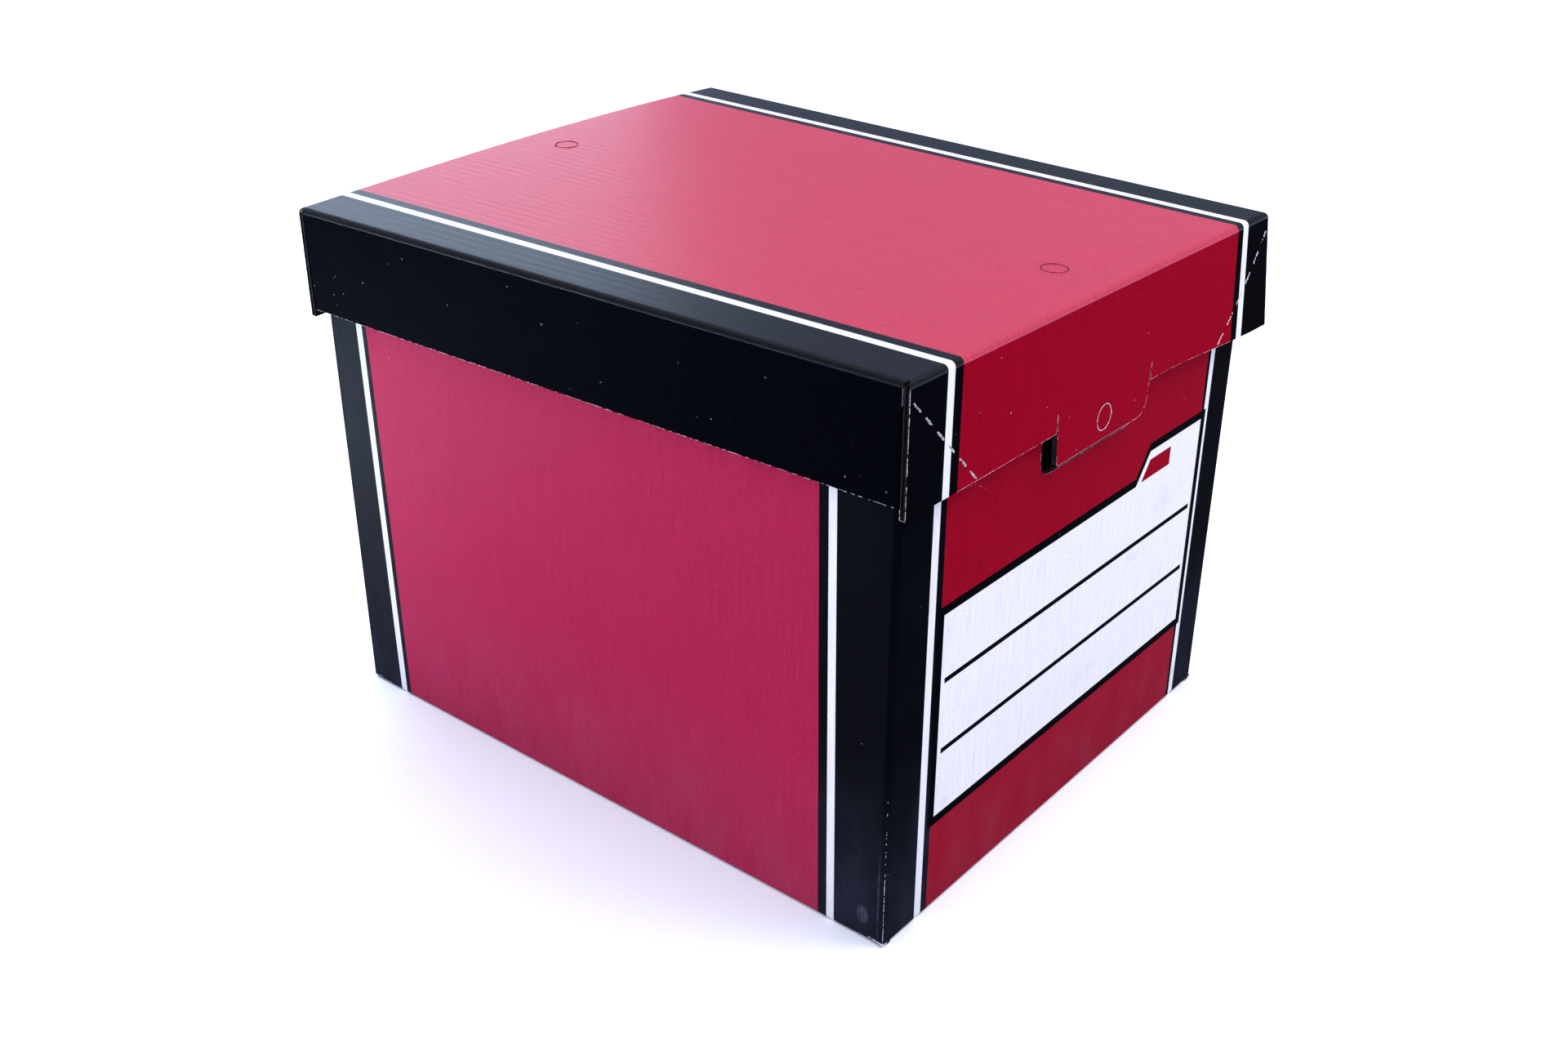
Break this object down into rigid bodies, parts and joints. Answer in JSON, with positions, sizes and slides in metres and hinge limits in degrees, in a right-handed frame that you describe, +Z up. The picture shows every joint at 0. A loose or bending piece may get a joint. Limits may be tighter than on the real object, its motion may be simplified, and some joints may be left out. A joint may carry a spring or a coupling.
{
  "type": "archive box",
  "caption": "Lidded archive box of corrugated board: doubled ends with hand holes, hooked flap bottom, and a lift-off lid whose lock tabs swing into the hand holes.",
  "frame": {"origin": "centre of the base, on the floor", "axes": "+Z up through the lid, +Y along the length to the rear end, +X across the width; the label end faces -Y"},
  "size_m": [0.344, 0.416, 0.303],
  "materials": {
    "crimson_print": "semi-gloss print",
    "deep_crimson_print": "semi-gloss print",
    "black_print": "semi-gloss print",
    "white_liner": "plain bleached liner",
    "kraft_liner": "plain liner"
  },
  "bodies": {
    "box_body": {"label_end_panel": "deep_crimson_print", "rear_end_panel": "deep_crimson_print", "label_end_lining": "white_liner", "rear_end_lining": "white_liner", "left_side_panel": "crimson_print", "right_side_panel": "crimson_print", "sleeve_glue_tab": "kraft_liner", "left_bottom_flap": "white_liner", "right_bottom_flap": "white_liner", "label_end_bottom_flap": "white_liner", "rear_end_bottom_flap": "white_liner", "label_end_glue_corner": "kraft_liner", "rear_end_glue_corner": "kraft_liner"},
    "lid": {"lid_top_panel": "crimson_print", "lid_top_label_end_disc": "crimson_print", "lid_top_rear_end_disc": "crimson_print", "lid_left_flap": "black_print", "lid_right_flap": "black_print", "lid_label_end_flap": "deep_crimson_print", "lid_rear_end_flap": "deep_crimson_print", "lid_label_end_first_corner_tab": "black_print", "lid_label_end_second_corner_tab": "black_print", "lid_rear_end_first_corner_tab": "black_print", "lid_rear_end_second_corner_tab": "black_print"},
    "label_end_lock_tab": {"label_end_lock_tab": "deep_crimson_print", "label_end_lock_tab_disc": "deep_crimson_print"},
    "rear_end_lock_tab": {"rear_end_lock_tab": "deep_crimson_print", "rear_end_lock_tab_disc": "deep_crimson_print"}
  },
  "joints": [
    {"name": "lid_lift", "type": "slide", "parent": "box_body", "child": "lid", "axis": [0, 0, 1], "range_m": [0, 0.12]},
    {"name": "label_end_lock_tab_crease", "type": "hinge", "parent": "lid", "child": "label_end_lock_tab", "pos_m": [0, -0.2065, 0.25], "axis": [1, 0, 0], "range_deg": [-35, 45]},
    {"name": "rear_end_lock_tab_crease", "type": "hinge", "parent": "lid", "child": "rear_end_lock_tab", "pos_m": [0, 0.2065, 0.25], "axis": [-1, 0, 0], "range_deg": [-35, 45]}
  ]
}
